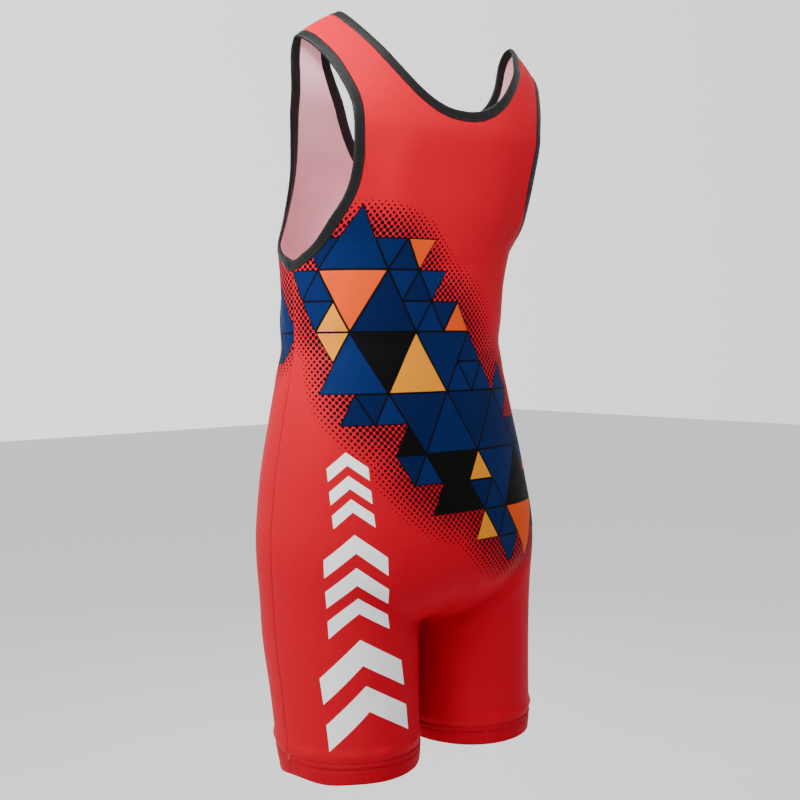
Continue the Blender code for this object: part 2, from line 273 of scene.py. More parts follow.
# Start angle and height, end angle and height, depth in mm and half width in mm
CREASES = (
    (5, -0.654, 46, -0.606, 2.4, 16),
    (-4, -0.654, -44, -0.592, 3.4, 17),
    (4, -0.664, 30, -0.682, 1.0, 9),
    (-4, -0.664, -34, -0.686, 1.1, 9),
    (8, -0.640, 20, -0.560, 0.9, 12),
    (-8, -0.640, -22, -0.552, 0.9, 12),
    (52, -0.262, 70, -0.330, 0.9, 11),
    (-52, -0.262, -72, -0.334, 0.9, 11),
    (80, -0.262, 60, -0.300, 0.7, 9),
    (-84, -0.266, -62, -0.300, 0.7, 9),
    (16, -0.338, 84, -0.352, 1.0, 16),
    (-20, -0.345, -88, -0.336, 1.0, 16),
    (30, -0.372, 96, -0.380, 0.7, 12),
    (-34, -0.378, -98, -0.366, 0.7, 12),
    (26, -0.090, 34, -0.250, 1.1, 18),
    (-26, -0.090, -33, -0.250, 1.1, 18),
    (10, -0.130, 6, -0.300, 0.9, 22),
    (176, -0.652, 132, -0.600, 1.6, 13),
    (-176, -0.652, -134, -0.604, 1.6, 13),
    (175, -0.640, 150, -0.570, 1.0, 12),
    (-175, -0.640, -152, -0.574, 1.0, 12),
    (176, -0.664, 148, -0.684, 1.0, 9),
    (-176, -0.664, -150, -0.682, 1.0, 9),
    (122, -0.262, 104, -0.322, 0.9, 11),
    (-122, -0.262, -106, -0.326, 0.9, 11),
    (164, -0.336, 98, -0.348, 0.9, 16),
    (-160, -0.342, -100, -0.352, 0.9, 16),
    (150, -0.150, 146, -0.260, 0.9, 18),
    (-150, -0.150, -145, -0.260, 0.9, 18),
    (70, -0.735, 40, -0.700, 0.8, 12),
    (-64, -0.742, -36, -0.704, 0.8, 12),
    (110, -0.738, 138, -0.704, 0.8, 12),
    (-112, -0.742, -140, -0.706, 0.8, 12),
)
# A crease's overrun past its ends, how it weakens towards them, and its two ridges in half widths
CREASE_OVERRUN, CREASE_END, CREASE_POWER, CREASE_FADE = 0.3, 0.15, 1.2, 6
RIDGE, RIDGE_PLACE = 0.45, 1.7
# Waves of the stretched cloth: turns round the figure, rate by height, phase and size in mm
WAVES = ((3, 11, 0.4, 0.22), (5, 23, 2.1, 0.16), (8, 37, 4.0, 0.11), (12, 61, 1.3, 0.07))
# The front's flare below the armhole: size, angle and its spread, height and its spread
FLARE, FLARE_TURN, FLARE_SPREAD, FLARE_HEIGHT, FLARE_REACH = 0.0032, 108, 15, -0.238, 0.020

# The hem's relief: sewn rows, their grooves, the step of the doubled cloth, pucker, flare, tuck and roll
HEM_ROWS = (HEM + 0.0160, HEM + 0.0225)
HEM_GROOVE, HEM_GROOVE_WIDTH = 0.0009, 0.0013
HEM_STEP, HEM_STEP_PLACE, HEM_STEP_WIDTH = 0.0007, 0.0006, 0.0007
HEM_PUCKER, HEM_PUCKER_REACH = 0.00022, 0.016
HEM_FLARE, HEM_FLARE_REACH = 0.0009, 0.022
HEM_TUCK, HEM_TUCK_PLACE, HEM_TUCK_REACH = 0.0016, 0.004, 0.018
HEM_ROLL, HEM_ROLL_PLACE, HEM_ROLL_REACH, HEM_ROLL_PUCKER = 0.0015, 0.0080, 0.0055, 0.30
# The hem's uneven edge: drops near the side seam as size, angle and spread, a rise near the inseam with its
# spread, a rise all round, a wave, and how far up they reach
HEM_DROPS = ((0.0062, 104, 11), (0.0022, 73, 8))
INSEAM_RISE, INSEAM_SPREAD, HEM_RISE, HEM_WAVE = 0.0034, 26, 0.0010, 0.0007
HEM_LIFT_REACH = 0.040


def crease_depth(angle, height):
    """How far the creases push the cloth out, in metres."""
    total = np.zeros_like(height)
    for a0, z0, a1, z1, depth, half_width in CREASES:
        start = np.array((a0 * DEGREE, z0))
        run = np.array((a1 * DEGREE, z1)) - start
        along_x, along_z = angle * DEGREE - start[0], height - start[1]
        length = np.hypot(*run)
        t = (along_x * run[0] + along_z * run[1]) / length**2
        t = np.clip(t, -CREASE_OVERRUN, 1 + CREASE_OVERRUN)
        across = (along_x * run[1] - along_z * run[0]) / length / (half_width / 1000)
        ends = np.clip(t * (1 - t) * 4 + CREASE_END, 0, 1) ** CREASE_POWER
        beyond = np.exp(-(np.maximum(np.maximum(-t, t - 1), 0) * CREASE_FADE) ** 2)
        ridges = sum(RIDGE * bell(across, place, 1) for place in (RIDGE_PLACE, -RIDGE_PLACE))
        total += depth / 1000 * ends * beyond * (ridges - bell(across, 0, 1))
    return total


def underarm_flare(turn, height):
    """How far the front stands out just below the armhole."""
    aside = (turn - FLARE_TURN) / FLARE_SPREAD
    off = (height - FLARE_HEIGHT) / FLARE_REACH
    return FLARE * np.exp(-(aside**2) - off**2)


def hem_lift(turn, height, hand):
    """How far the loose hem rises, or drops near the side seam."""
    inner = bell(np.minimum(turn, 180 - turn), 0, INSEAM_SPREAD)
    outer = sum(size * bell(turn, middle, spread) for size, middle, spread in HEM_DROPS)
    low = np.clip((HEM + HEM_LIFT_REACH - height) / HEM_LIFT_REACH, 0, 1) ** 2
    wave = HEM_WAVE * np.sin(np.radians(turn) * 4 + 2 * hand)
    return low * (INSEAM_RISE * inner + HEM_RISE - outer + wave)


def soft_waves(angle, height):
    """Slight unevenness of stretched cloth, the same each run."""
    total = np.zeros_like(height)
    around = np.radians(angle)
    for turns, rate, phase, size in WAVES:
        total += size / 1000 * np.sin(turns * around + phase) * np.sin(rate * height + 2 * phase)
    return total


def hem_relief(angle, height):
    """The double cloth of the hem, the two sewn rows and their pucker."""
    around = np.radians(angle)
    top = HEM_ROWS[1]
    total = HEM_STEP / (1 + np.exp((height - top - HEM_STEP_PLACE) / HEM_STEP_WIDTH))
    for row in HEM_ROWS:
        total -= HEM_GROOVE * bell(height, row, HEM_GROOVE_WIDTH)
    pucker = np.sin(around * 24) + 0.6 * np.sin(around * 37 + 1.0)
    flare = np.sin(around * 2 + 0.6) + 0.5 * np.sin(around * 5 + 2.0)
    near_rows = bell(height, HEM_ROWS[0], HEM_PUCKER_REACH)
    total += HEM_PUCKER * pucker * near_rows + HEM_FLARE * flare * bell(height, HEM, HEM_FLARE_REACH)
    total -= HEM_TUCK * np.clip((top - HEM_TUCK_PLACE - height) / HEM_TUCK_REACH, 0, 1)
    roll = bell(height - top, HEM_ROLL_PLACE, HEM_ROLL_REACH)
    return total + HEM_ROLL * roll * (1 + HEM_ROLL_PUCKER * pucker)


# The grid of the cloth

EDGE_INSET = 0.0045
FINE_SHARES = (0.9955, 0.9985)
COLUMNS, LAST_COLUMN = 58, 0.99
EVEN_PART, CLOSE_SET_PART = 0.72, 0.28
FINE_TOP, FINE_STEP = HEM + 0.041, 0.0013
LEG_ROWS, RISE_ROWS, TORSO_ROWS, UPPER_ROWS = 27, 31, 76, 120
CROTCH_REACH, CROTCH_ROUNDS, CROTCH_WEIGHT, CROTCH_MARGIN = 0.040, 70, 0.5, 0.16
# The side seam's groove and the calm cloth beside it, with widths in degrees, the calm cloth of the straps,
# and how far round the right hem's waves are moved
SEAM_GROOVE, SEAM_GROOVE_WIDTH = 0.0006, 0.45
SEAM_CALM, SEAM_CALM_WIDTH = 0.4, 4
STRAP_CALM_FROM, STRAP_CALM_REACH = -0.14, 0.08
RIGHT_HEM_SHIFT = 40


def even_shares():
    """Shares from the middle to the side, closer set at both ends to keep the cells even."""
    t = np.linspace(0, LAST_COLUMN, COLUMNS)
    shares = EVEN_PART * t + CLOSE_SET_PART * (1 - np.cos(np.pi * t)) / 2
    return np.array([*shares, *FINE_SHARES, 1.0])


SHARES = even_shares()
LEG_HEIGHTS = np.unique(
    np.concatenate([np.arange(HEM, FINE_TOP, FINE_STEP), np.linspace(FINE_TOP, CROTCH, LEG_ROWS), HEM_ROWS])
)
RISE_TURNS = np.linspace(1, 0, RISE_ROWS)[1:]


def upper_ends(side):
    """Inner and outer ends of the rows above the underarm, as angles and heights."""
    lines = []
    for turn in (NECK_TURN, ARM_TURN):
        line = moved_line(side, turn, EDGE_INSET)
        length = length_run(torso(side, line[:, 0], line[:, 1]))
        lines.append((line, length / length[-1]))
    (neck, neck_share), (arm, arm_share) = lines
    neck_bottom, underarm = neck[0, 1], arm[0, 1]
    turn_off = np.interp(neck_bottom - NECK_TILT, arm[:, 1], arm_share)
    lower = round(UPPER_ROWS * turn_off)
    low_climbs = np.linspace(0, turn_off, lower + 1)[:-1]
    climbs = np.concatenate([low_climbs, np.linspace(turn_off, 1, UPPER_ROWS - lower + 1)])
    outer = np.column_stack([np.interp(climbs, arm_share, arm[:, k]) for k in (0, 1)])
    above = np.clip((climbs - turn_off) / (1 - turn_off), 0, 1)
    inner = np.column_stack([np.interp(above, neck_share, neck[:, k]) for k in (0, 1)])
    low = climbs < turn_off
    inner[low, 0] = 0.0
    inner[low, 1] = underarm + (neck_bottom - underarm) * climbs[low] / turn_off
    return inner, outer


def cloth_grid(side):
    """Points of half a panel, rows from the hem up, and each point's angle round the figure."""
    legs = leg(side, SHARES[None, :], LEG_HEIGHTS[:, None])
    rises = rise(side, np.broadcast_to(SHARES, (len(RISE_TURNS), len(SHARES))), RISE_TURNS[:, None])
    inner, outer = upper_ends(side)
    heights = np.linspace(HIP_LINE, outer[0, 1], TORSO_ROWS)[1:-1]
    torsos = torso(side, 90 * SHARES[None, :], heights[:, None])
    angles = inner[:, :1] * (1 - SHARES) + outer[:, :1] * SHARES
    levels = inner[:, 1:] * (1 - SHARES) + outer[:, 1:] * SHARES
    uppers = torso(side, angles, levels)
    grid = np.concatenate([legs, rises, torsos, uppers])
    low_rows = len(legs) + len(rises) + len(torsos)
    angle = np.concatenate([np.broadcast_to(90 * SHARES, (low_rows, len(SHARES))), angles])
    grid[len(legs) - 1 : low_rows, 0, 0] = 0.0
    return eased_crotch(grid), angle


def eased_crotch(grid):
    """The grid with the turn from seat to leg drawn out, as stretched cloth does, away from the middle."""
    level = bell(grid[..., 2], CROTCH, CROTCH_REACH)
    off_middle = np.clip(SHARES / CROTCH_MARGIN, 0, 1)
    weight = (CROTCH_WEIGHT * level * off_middle * off_middle * (3 - 2 * off_middle))[1:-1, :, None]
    for _ in range(CROTCH_ROUNDS):
        between = (grid[:-2] + grid[2:]) / 2
        grid[1:-1] += weight * (between - grid[1:-1])
    return grid


def grid_normals(grid, side):
    """Outward directions over a grid of points."""
    across = np.gradient(grid, axis=1)
    up = np.gradient(grid, axis=0)
    return unit(np.cross(across, up) * -side)


def pattern_places(side, grid, angle):
    """Where each point lies on the flat pattern, in metres from the middle and from the crest's height."""
    steps = np.linalg.norm(np.diff(grid, axis=1), axis=2)
    from_side = np.concatenate([np.cumsum(steps[:, ::-1], axis=1)[:, ::-1], np.zeros((len(grid), 1))], axis=1)
    heights = np.linspace(-0.6, 0.04, 129)
    sweep = np.linspace(0, 90, 181)
    places = torso(side, sweep[None, :], np.minimum(heights, 0.0)[:, None])
    steps = np.linalg.norm(np.diff(places, axis=1), axis=2)
    run = np.concatenate([np.zeros((len(heights), 1)), np.cumsum(steps, axis=1)], axis=1)
    z = np.clip(grid[..., 2], heights[0], heights[-1])
    i = np.clip(np.searchsorted(heights, z) - 1, 0, len(heights) - 2)
    t = (z - heights[i]) / (heights[i + 1] - heights[i])
    column = angle / 90 * (len(sweep) - 1)
    j = np.clip(column.astype(int), 0, len(sweep) - 2)
    s = column - j
    lower = run[i, j] * (1 - s) + run[i, j + 1] * s
    upper = run[i + 1, j] * (1 - s) + run[i + 1, j + 1] * s
    u = lower * (1 - t) + upper * t
    v = grid[..., 2].copy()
    hip_row = len(LEG_HEIGHTS) + len(RISE_TURNS) - 1
    u[:hip_row] = u[hip_row, -1] - from_side[:hip_row]
    drops = np.linalg.norm(np.diff(grid[: hip_row + 1], axis=0), axis=2)
    below = np.cumsum(drops[::-1], axis=0)[::-1]
    v[:hip_row] = grid[hip_row, :, 2] - below
    return u, v


def displaced(side, grid, normals, angle, hand):
    """The grid of the wearer's left (hand 1) or right (-1) half with its relief."""
    turn = angle if side == BACK else 180 - angle
    height = grid[..., 2]
    signed = turn * hand
    push = crease_depth(signed, height) + soft_waves(signed, height)
    relief = hem_relief(turn + RIGHT_HEM_SHIFT * (hand < 0), height) + underarm_flare(turn, height)
    seam = SEAM_GROOVE * bell(turn, 90, SEAM_GROOVE_WIDTH)
    calm = 1 - bell(turn, 90, SEAM_CALM_WIDTH) * SEAM_CALM
    on_strap = np.clip((height - STRAP_CALM_FROM) / STRAP_CALM_REACH, 0, 1)
    push = push * calm * (1 - on_strap)
    moved = grid + normals * (push + relief - seam)[..., None]
    moved[..., 2] += hem_lift(turn, height, hand)
    return moved * (hand, 1, 1)


def make_mesh(name, points, faces, collection):
    mesh = bpy.data.meshes.new(name)
    mesh.from_pydata(np.asarray(points).tolist(), [], faces)
    mesh.shade_smooth()
    thing = bpy.data.objects.new(name, mesh)
    collection.objects.link(thing)
    return thing


def lay_coordinates(mesh, name, places):
    """A coordinate layer from the place of each point."""
    numbers = np.empty(len(mesh.loops), dtype=np.int32)
    mesh.loops.foreach_get("vertex_index", numbers)
    layer = mesh.uv_layers.new(name=name)
    layer.data.foreach_set("uv", places[numbers].astype(np.float32).reshape(-1))


def grid_faces(rows, columns, start, flip):
    faces = []
    for r in range(rows - 1):
        for c in range(columns - 1):
            corner = start + r * columns + c
            face = (corner, corner + 1, corner + columns + 1, corner + columns)
            faces.append(face[::-1] if flip else face)
    return faces


CLOTH = 0.0011
# Place of the hem's outside among the cloth's materials
HEM_SLOT = 2


def make_cloth(name, side, materials, collection):
    """One panel's cloth. The materials are outside, inside, outside of the hems and inside of the hems."""
    grid, angle = cloth_grid(side)
    normals = grid_normals(grid, side)
    rows, columns = grid.shape[:2]
    above_crotch = slice(len(LEG_HEIGHTS) - 1, rows)
    on_middle = np.isclose(grid[above_crotch, 0, 0], 0)
    straight = normals[above_crotch, 0]
    straight[on_middle, 0] = 0.0
    normals[above_crotch, 0] = unit(straight)
    u, v = pattern_places(side, grid, angle)
    halves = {hand: displaced(side, grid, normals, angle, hand) for hand in (1, -1)}
    points = np.concatenate([halves[1].reshape(-1, 3), halves[-1].reshape(-1, 3)])
    count = rows * columns
    faces = grid_faces(rows, columns, 0, side == BACK) + grid_faces(rows, columns, count, side == FRONT)
    cloth = make_mesh(name, points, faces, collection)
    mesh = cloth.data
    pattern = np.concatenate([np.stack([u, v], -1).reshape(-1, 2), np.stack([-u, v], -1).reshape(-1, 2)])
    lay_coordinates(mesh, "Pattern", pattern)
    for material in materials:
        mesh.materials.append(material)
    centres = np.empty(len(mesh.polygons) * 3, dtype=np.float32)
    mesh.polygons.foreach_get("center", centres)
    in_hem = centres.reshape(-1, 3)[:, 2] < HEM_ROWS[1]
    mesh.polygons.foreach_set("material_index", np.where(in_hem, HEM_SLOT, 0).astype(np.int32))
    shape = bmesh.new()
    shape.from_mesh(mesh)
    bmesh.ops.remove_doubles(shape, verts=shape.verts, dist=1e-6)
    shape.to_mesh(mesh)
    shape.free()
    wall = cloth.modifiers.new("Wall", "SOLIDIFY")
    wall.thickness = CLOTH
    wall.offset = -1.0
    wall.material_offset = 1
    return cloth, halves, normals


# Bindings

BINDING_LEVELS = (0.0, 0.0014, 0.0034, 0.0056, 0.0078, 0.0090, 0.0103)
BINDING_OUTER = (0.00085, 0.00115, 0.00120, 0.00110, 0.00095, 0.00070, 0.00035)
BINDING_INNER = (-0.00200, -0.00230, -0.00235, -0.00225, -0.00210, -0.00185, -0.00150)
# The fold past the cut edge: share of its reach, and place out of the cloth
FOLD_REACH = 0.0008
FOLD = ((0.7, 0.0001), (1.0, -0.0006), (0.7, -0.0013))
CLOSING_INSET = 0.0001
STITCH_LEVEL, STITCH_PROUD = 4, 0.0009
STATION_STEP = 0.0018
STRIP_ROUND = 0.026
EASE_ROUNDS = 8
RIPPLE, RIPPLES = 0.00005, ((31, 0), (53, 1), (97, 2))
# The doubled join: place before the ring's end, half length, height and how sharp its ends are
JOIN_MIDDLE, JOIN_HALF, JOIN_PROUD, JOIN_SHARP = 0.010, 0.0080, 0.0011, 10


def binding_side(side, turn):
    """Outline of a folded strip at each station of a cut line, and its stitch line with its directions."""
    levels = []
    for inset in BINDING_LEVELS:
        line = moved_line(side, turn, inset)
        out = outward(side, line, turn)
        place = torso(side, line[:, 0], line[:, 1])
        if turn == ARM_TURN:
            round_figure = line[:, 0] if side == BACK else 180 - line[:, 0]
            place = place + out * underarm_flare(round_figure, line[:, 1])[:, None]
        levels.append((place, out))
    out, inward = edge_directions(side, cut_line(side, turn), turn)
    outline = [place + normal * up for (place, normal), up in zip(levels[::-1], BINDING_OUTER[::-1])]
    edge = levels[0][0]
    outline += [edge - inward * FOLD_REACH * share + out * up for share, up in FOLD]
    outline += [place + normal * up for (place, normal), up in zip(levels, BINDING_INNER)]
    outline.append((outline[0] + outline[-1]) / 2 + inward * CLOSING_INSET)
    return np.stack(outline, 1), *levels[STITCH_LEVEL]


def closed_run(back, front):
    """The back's stations and the front's in reverse, without a doubled crest."""
    return np.concatenate([back, front[-2::-1]])


def resampled(ring, guide, step):
    """Even stations round a closed ring, by the length of a guide line."""
    closed = np.concatenate([ring, ring[:1]])
    length = length_run(np.concatenate([guide, guide[:1]]))
    count = int(length[-1] / step)
    wanted = np.arange(count) * length[-1] / count
    flat = closed.reshape(len(closed), -1)
    even = np.column_stack([np.interp(wanted, length, flat[:, k]) for k in range(flat.shape[1])])
    return even.reshape(count, *ring.shape[1:])


def eased(ring, rounds):
    """A ring with its kinks smoothed along its length."""
    for _ in range(rounds):
        ring = ring * 0.5 + (np.roll(ring, 1, axis=0) + np.roll(ring, -1, axis=0)) * 0.25
    return ring


def make_binding(name, turn, material, collection):
    """A folded strip round the neck or the left armhole, and its stitch line as points and directions."""
    parts = [closed_run(*both) for both in zip(binding_side(BACK, turn), binding_side(FRONT, turn))]
    if turn == NECK_TURN:
        parts = [np.concatenate([part, part[-2:0:-1] * MIRROR]) for part in parts]
    else:
        parts = [part[:-1] for part in parts]
    guide = parts[0][:, 0]
    ring, line, out = (eased(resampled(part, guide, STATION_STEP), EASE_ROUNDS) for part in parts)
    out = unit(out)
    stations, around = ring.shape[:2]
    place = np.arange(stations) / stations * 2 * np.pi
    ripple = sum(RIPPLE * np.sin(place * rate + phase) for rate, phase in RIPPLES)
    middle = ring.mean(axis=1, keepdims=True)
    ring = ring + unit(ring - middle) * ripple[:, None, None]
    if turn == ARM_TURN:
        before_end = (stations - np.arange(stations)) * STATION_STEP
        join = np.exp(-(((before_end - JOIN_MIDDLE) / JOIN_HALF) ** JOIN_SHARP))
        ring = ring + unit(ring - middle) * (join * JOIN_PROUD)[:, None, None]
    faces = []
    for s in range(stations):
        for p in range(around):
            here, there, after = s * around, (s + 1) % stations * around, (p + 1) % around
            faces.append((here + p, here + after, there + after, there + p))
    strip = make_mesh(name, ring.reshape(-1, 3), faces, collection)
    shape = bmesh.new()
    shape.from_mesh(strip.data)
    if shape.calc_volume(signed=True) < 0:
        bmesh.ops.reverse_faces(shape, faces=shape.faces)
        shape.to_mesh(strip.data)
    shape.free()
    strip.data.materials.append(material)
    along = np.repeat(np.arange(stations) * STATION_STEP, around)
    across = np.tile(np.linspace(0, STRIP_ROUND, around), stations)
    lay_coordinates(strip.data, "Strip", np.column_stack([along, across]))
    return strip, line + out * STITCH_PROUD, out


def mirrored(thing, name, collection):
    mesh = thing.data.copy()
    mesh.name = name
    mesh.transform(Matrix.Scale(-1, 4, (1, 0, 0)))
    mesh.flip_normals()
    other = bpy.data.objects.new(name, mesh)
    collection.objects.link(other)
    return other


# Thread

# Pitch, length and radius of each kind of stitch
BINDING_STITCH = (0.0028, 0.0019, 0.00024)
SEAM_STITCH = (0.0034, 0.0022, 0.00030)
HEM_STITCH = (0.0030, 0.0023, 0.00038)
KNOT_STITCH = (0.0013, 0.0030, 0.00050)
OVERLOCK_STITCH = (0.0019, 0.0046, 0.00030)
# Sideways lean of a stitch for each step along, and how far it stands off its line
SEAM_SLANT, KNOT_SLANT, OVERLOCK_SLANT = 0.25, 5.0, 8.0
HEM_STITCH_LIFT, KNOT_LIFT, OVERLOCK_LIFT, OVERLOCK_DEPTH = 0.0001, 0.0007, 0.0002, 0.0016
# A stitch's rings as places along it and shares of its radius, and how it arches, in radii
THREAD_RINGS = ((-0.5, 0.15), (-0.36, 0.8), (0.0, 1.0), (0.36, 0.8), (0.5, 0.15))
THREAD_SIDES = 6
ARCH_HEIGHT, ARCH_BEND = 0.5, 3.0


def thread_row(line, outs, stitch, slant=0.0, closed=False, lift=0.0):
    """Points and faces of a row of short stitches along a line, each a rounded bead of thread."""
    pitch, length, radius = stitch
    if closed:
        line, outs = np.concatenate([line, line[:1]]), np.concatenate([outs, outs[:1]])
    run = length_run(line)
    count = max(int(run[-1] / pitch), 1)
    centres = (np.arange(count) + 0.5) * run[-1] / count

    def at(values, where):
        return np.column_stack([np.interp(where, run, values[:, k]) for k in range(3)])

    place, out = at(line, centres), unit(at(outs, centres))
    ahead = at(line, np.minimum(centres + pitch / 4, run[-1]))
    behind = at(line, np.maximum(centres - pitch / 4, 0))
    along = unit(ahead - behind)
    side = unit(np.cross(out, along))
    along = unit(along + side * slant)
    side = unit(np.cross(out, along))
    sides = THREAD_SIDES
    points = []
    for shift, size in THREAD_RINGS:
        for k in range(sides):
            turn = 2 * math.pi * k / sides
            arch = radius * (ARCH_HEIGHT - ARCH_BEND * shift * shift) + lift
            points.append(
                place
                + along * (shift * length)
                + side * (math.cos(turn) * radius * size)
                + out * (math.sin(turn) * radius * size + arch)
            )
    points = np.stack(points, 1).reshape(-1, 3)
    each = len(THREAD_RINGS) * sides
    faces = []
    for n in range(count):
        start = n * each
        for r in range(len(THREAD_RINGS) - 1):
            for k in range(sides):
                a, b = start + r * sides + k, start + r * sides + (k + 1) % sides
                faces.append((a, a + sides, b + sides, b))
        faces.append(tuple(start + k for k in range(sides)))
        faces.append(tuple(start + each - 1 - k for k in range(sides)))
    return points, faces


def make_thread(name, rows, material, collection):
    """One object from several rows of stitches."""
    points, faces = [], []
    count = 0
    for row_points, row_faces in rows:
        points.append(row_points)
        faces += [tuple(index + count for index in face) for face in row_faces]
        count += len(row_points)
    thread = make_mesh(name, np.concatenate(points), faces, collection)
    thread.data.materials.append(material)
    return thread


# Materials

# Sockets of a colour mix: share, both colours and the result
MIX_SHARE, MIX_UNDER, MIX_OVER, MIX_RESULT = 0, 6, 7, 2


def feed(node, inputs):
    """Links inputs of a node to Fields or sockets, or sets their own values."""
    for name, value in inputs.items():
        slot = node.inputs[name]
        if isinstance(value, Field):
            value = value.socket
        if isinstance(value, bpy.types.NodeSocket):
            slot.id_data.links.new(value, slot)
        else:
            slot.default_value = value
    return node


def node_maths(operation, *fixed):
    """A method that adds one maths node to a Field's tree."""

    def method(self, *others):
        node = self.tree.nodes.new("ShaderNodeMath")
        node.operation = operation
        feed(node, dict(enumerate((self, *others, *fixed))))
        return Field(self.tree, node.outputs[0])

    return method


class Field:
    """A number in a node tree, with ordinary arithmetic."""

    def __init__(self, tree, socket):
        self.tree, self.socket = tree, socket

    __add__ = node_maths("ADD")
    __sub__ = node_maths("SUBTRACT")
    __mul__ = node_maths("MULTIPLY")
    __truediv__ = node_maths("DIVIDE")
    floor = node_maths("FLOOR")
    fract = node_maths("FRACT")
    abs = node_maths("ABSOLUTE")
    above = node_maths("GREATER_THAN")
    below = node_maths("LESS_THAN")
    least = node_maths("MINIMUM")
    most = node_maths("MAXIMUM")
    # 1 less the number
    inverse = node_maths("MULTIPLY_ADD", -1.0, 1.0)


def new_material(name):
    material = bpy.data.materials.new(name)
    material.use_nodes = True
    return material, material.node_tree, material.node_tree.nodes["Principled BSDF"]


def places_of(tree, layer):
    node = tree.nodes.new("ShaderNodeUVMap")
    node.uv_map = layer
    parts = feed(tree.nodes.new("ShaderNodeSeparateXYZ"), {0: node.outputs[0]})
    return Field(tree, parts.outputs[0]), Field(tree, parts.outputs[1]), node.outputs[0]


def random_of(tree, x, y, z, seed):
    """Three random numbers for each whole-numbered place."""
    joined = feed(tree.nodes.new("ShaderNodeCombineXYZ"), {0: x + seed, 1: y, 2: z})
    noise = tree.nodes.new("ShaderNodeTexWhiteNoise")
    noise.noise_dimensions = "3D"
    feed(noise, {"Vector": joined.outputs[0]})
    parts = feed(tree.nodes.new("ShaderNodeSeparateColor"), {0: noise.outputs["Color"]})
    return tuple(Field(tree, parts.outputs[k]) for k in range(3))


def painted(under, over, amount):
    """A colour socket: over laid on under by an amount."""
    node = amount.tree.nodes.new("ShaderNodeMix")
    node.data_type = "RGBA"
    under, over = ((*colour, 1.0) if isinstance(colour, tuple) else colour for colour in (under, over))
    feed(node, {MIX_SHARE: amount, MIX_UNDER: under, MIX_OVER: over})
    return node.outputs[MIX_RESULT]


def noise_of(tree, vector, scale, detail, rough=0.5):
    node = tree.nodes.new("ShaderNodeTexNoise")
    feed(node, {"Vector": vector, "Scale": scale, "Detail": detail, "Roughness": rough})
    return Field(tree, node.outputs[0])


def add_bump(tree, shader, height, strength):
    bump = tree.nodes.new("ShaderNodeBump")
    feed(bump, {"Strength": strength, "Distance": BUMP_DISTANCE, "Height": height})
    feed(shader, {"Normal": bump.outputs[0]})


RED = (0.46, 0.0001, 0.013)
DEEP_RED = (0.40, 0.0001, 0.011)
HEM_RED = (0.40, 0.0001, 0.011)
DEEP_HEM_RED = (0.34, 0.0001, 0.009)
NAVY = (0.0017, 0.0066, 0.042)
BLUE = (0.0028, 0.0145, 0.084)
BLACK = (0.0025, 0.0024, 0.0028)
GOLD = (0.60, 0.21, 0.009)
ORANGE = (0.58, 0.060, 0.004)
WHITE = (0.86, 0.84, 0.87)
PINK = (0.98, 0.60, 0.66)
DEEP_PINK = (0.95, 0.46, 0.53)
BINDING_DARK = (0.0014, 0.0014, 0.0016)
BINDING_PALE = (0.0044, 0.0043, 0.0048)

BUMP_DISTANCE = 0.0002
KNIT_ROUGHNESS, INSIDE_ROUGHNESS, ROUGHNESS_SWING = 0.58, 0.66, 0.12
KNIT_BUMP, KNIT_SCALE, CLOTH_SCALE = 0.35, 1500.0, 60.0
KNIT_SHEEN, KNIT_SHEEN_ROUGHNESS, KNIT_SPECULAR = 0.004, 0.40, 0.045
BINDING_BUMP, RIB_SCALE, RIB_BEND, BINDING_CLOUD = 0.4, 190.0, 1.5, 220.0
BINDING_ROUGHNESS, BINDING_SHEEN, BINDING_SPECULAR = 0.42, 0.04, 0.20
THREAD_TWIST, THREAD_ROUGHNESS = 900.0, 0.5

# Blobs that the facets fill, in pattern metres: middle u, middle v, half width, half height
BACK_BLOBS = (
    (0.095, -0.290, 0.085, 0.074),
    (0.040, -0.365, 0.100, 0.094),
    (-0.025, -0.440, 0.105, 0.096),
    (-0.095, -0.505, 0.090, 0.084),
)
FRONT_BLOBS = (
    (0.105, -0.305, 0.085, 0.074),
    (0.040, -0.375, 0.100, 0.092),
    (-0.030, -0.440, 0.100, 0.092),
    (-0.095, -0.505, 0.085, 0.078),
)
# Stacks of chevrons that grow towards the hem: middle u, middle v, half width, pitch and count
BACK_CHEVRONS = (
    (0.130, -0.480, 0.022, 0.024, 3),
    (0.131, -0.575, 0.034, 0.034, 3),
    (0.132, -0.685, 0.048, 0.050, 2),
)
FRONT_CHEVRONS = tuple((-middle_u, *rest) for middle_u, *rest in BACK_CHEVRONS)
CHEVRON_SLOPE, CHEVRON_SHARE = 0.75, 0.56
# Halftone dots: pitch, reach past a blob's rim, growth, and their largest and least squared radius in pitches
DOT_PITCH, DOT_REACH, DOT_GROWTH, DOT_MOST, DOT_LEAST = 0.0072, 0.80, 0.20, 0.185, 0.008
# Layers of facets: size, least depth in a blob, raggedness of the rim, and width of the lines in sizes
FACET_LAYERS = ((0.038, -0.02, 0.42, 0.034), (0.076, 0.26, 0.60, 0.017))
# Chances from which a facet is black, gold or orange
BLACK_FROM, GOLD_FROM, ORANGE_FROM = 0.80, 0.86, 0.94


def blob_field(u, v, blobs):
    """1 at the middle of the nearest blob, 0 on its rim and less outside."""
    best = None
    for middle_u, middle_v, half_u, half_v in blobs:
        across = (u - middle_u) / half_u
        up = (v - middle_v) / half_v
        value = (across * across + up * up).inverse()
        best = value if best is None else best.most(value)
    return best


